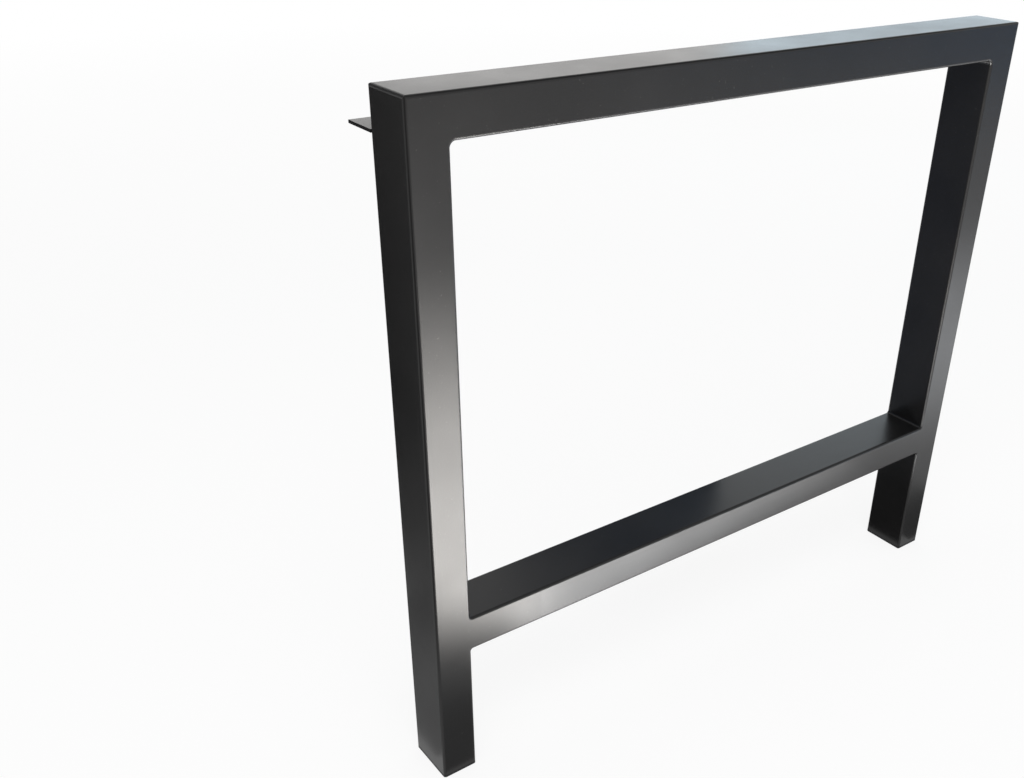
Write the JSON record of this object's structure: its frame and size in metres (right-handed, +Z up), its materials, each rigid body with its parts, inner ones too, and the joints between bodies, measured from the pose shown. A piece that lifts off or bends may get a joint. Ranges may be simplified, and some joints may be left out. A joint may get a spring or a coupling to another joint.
{
  "type": "table leg",
  "caption": "Welded H-frame table leg of black rectangular steel tube, with a screw flange behind its top rail, a screw plate on its lower rail and plastic plugs in its feet.",
  "frame": {"origin": "on the floor, at the middle of the leg's box (width, and depth with the flange)", "axes": "+X along the table's end, -Y the leg's outer side, +Y the flange side, +Z up"},
  "size_m": [0.8, 0.1, 0.72],
  "materials": {
    "powder_coat": "satin black powder coat on steel",
    "plug_plastic": "matt moulded black polyethylene"
  },
  "bodies": {
    "root": {"top_rail": "powder_coat", "left_upright": "powder_coat", "right_upright": "powder_coat", "lower_rail": "powder_coat", "mounting_flange": "powder_coat", "stretcher_plate": "powder_coat", "corner_welds": "powder_coat", "lower_rail_welds": "powder_coat", "flange_welds": "powder_coat", "plate_welds": "powder_coat", "left_foot_plug": "plug_plastic", "right_foot_plug": "plug_plastic"}
  },
  "joints": []
}
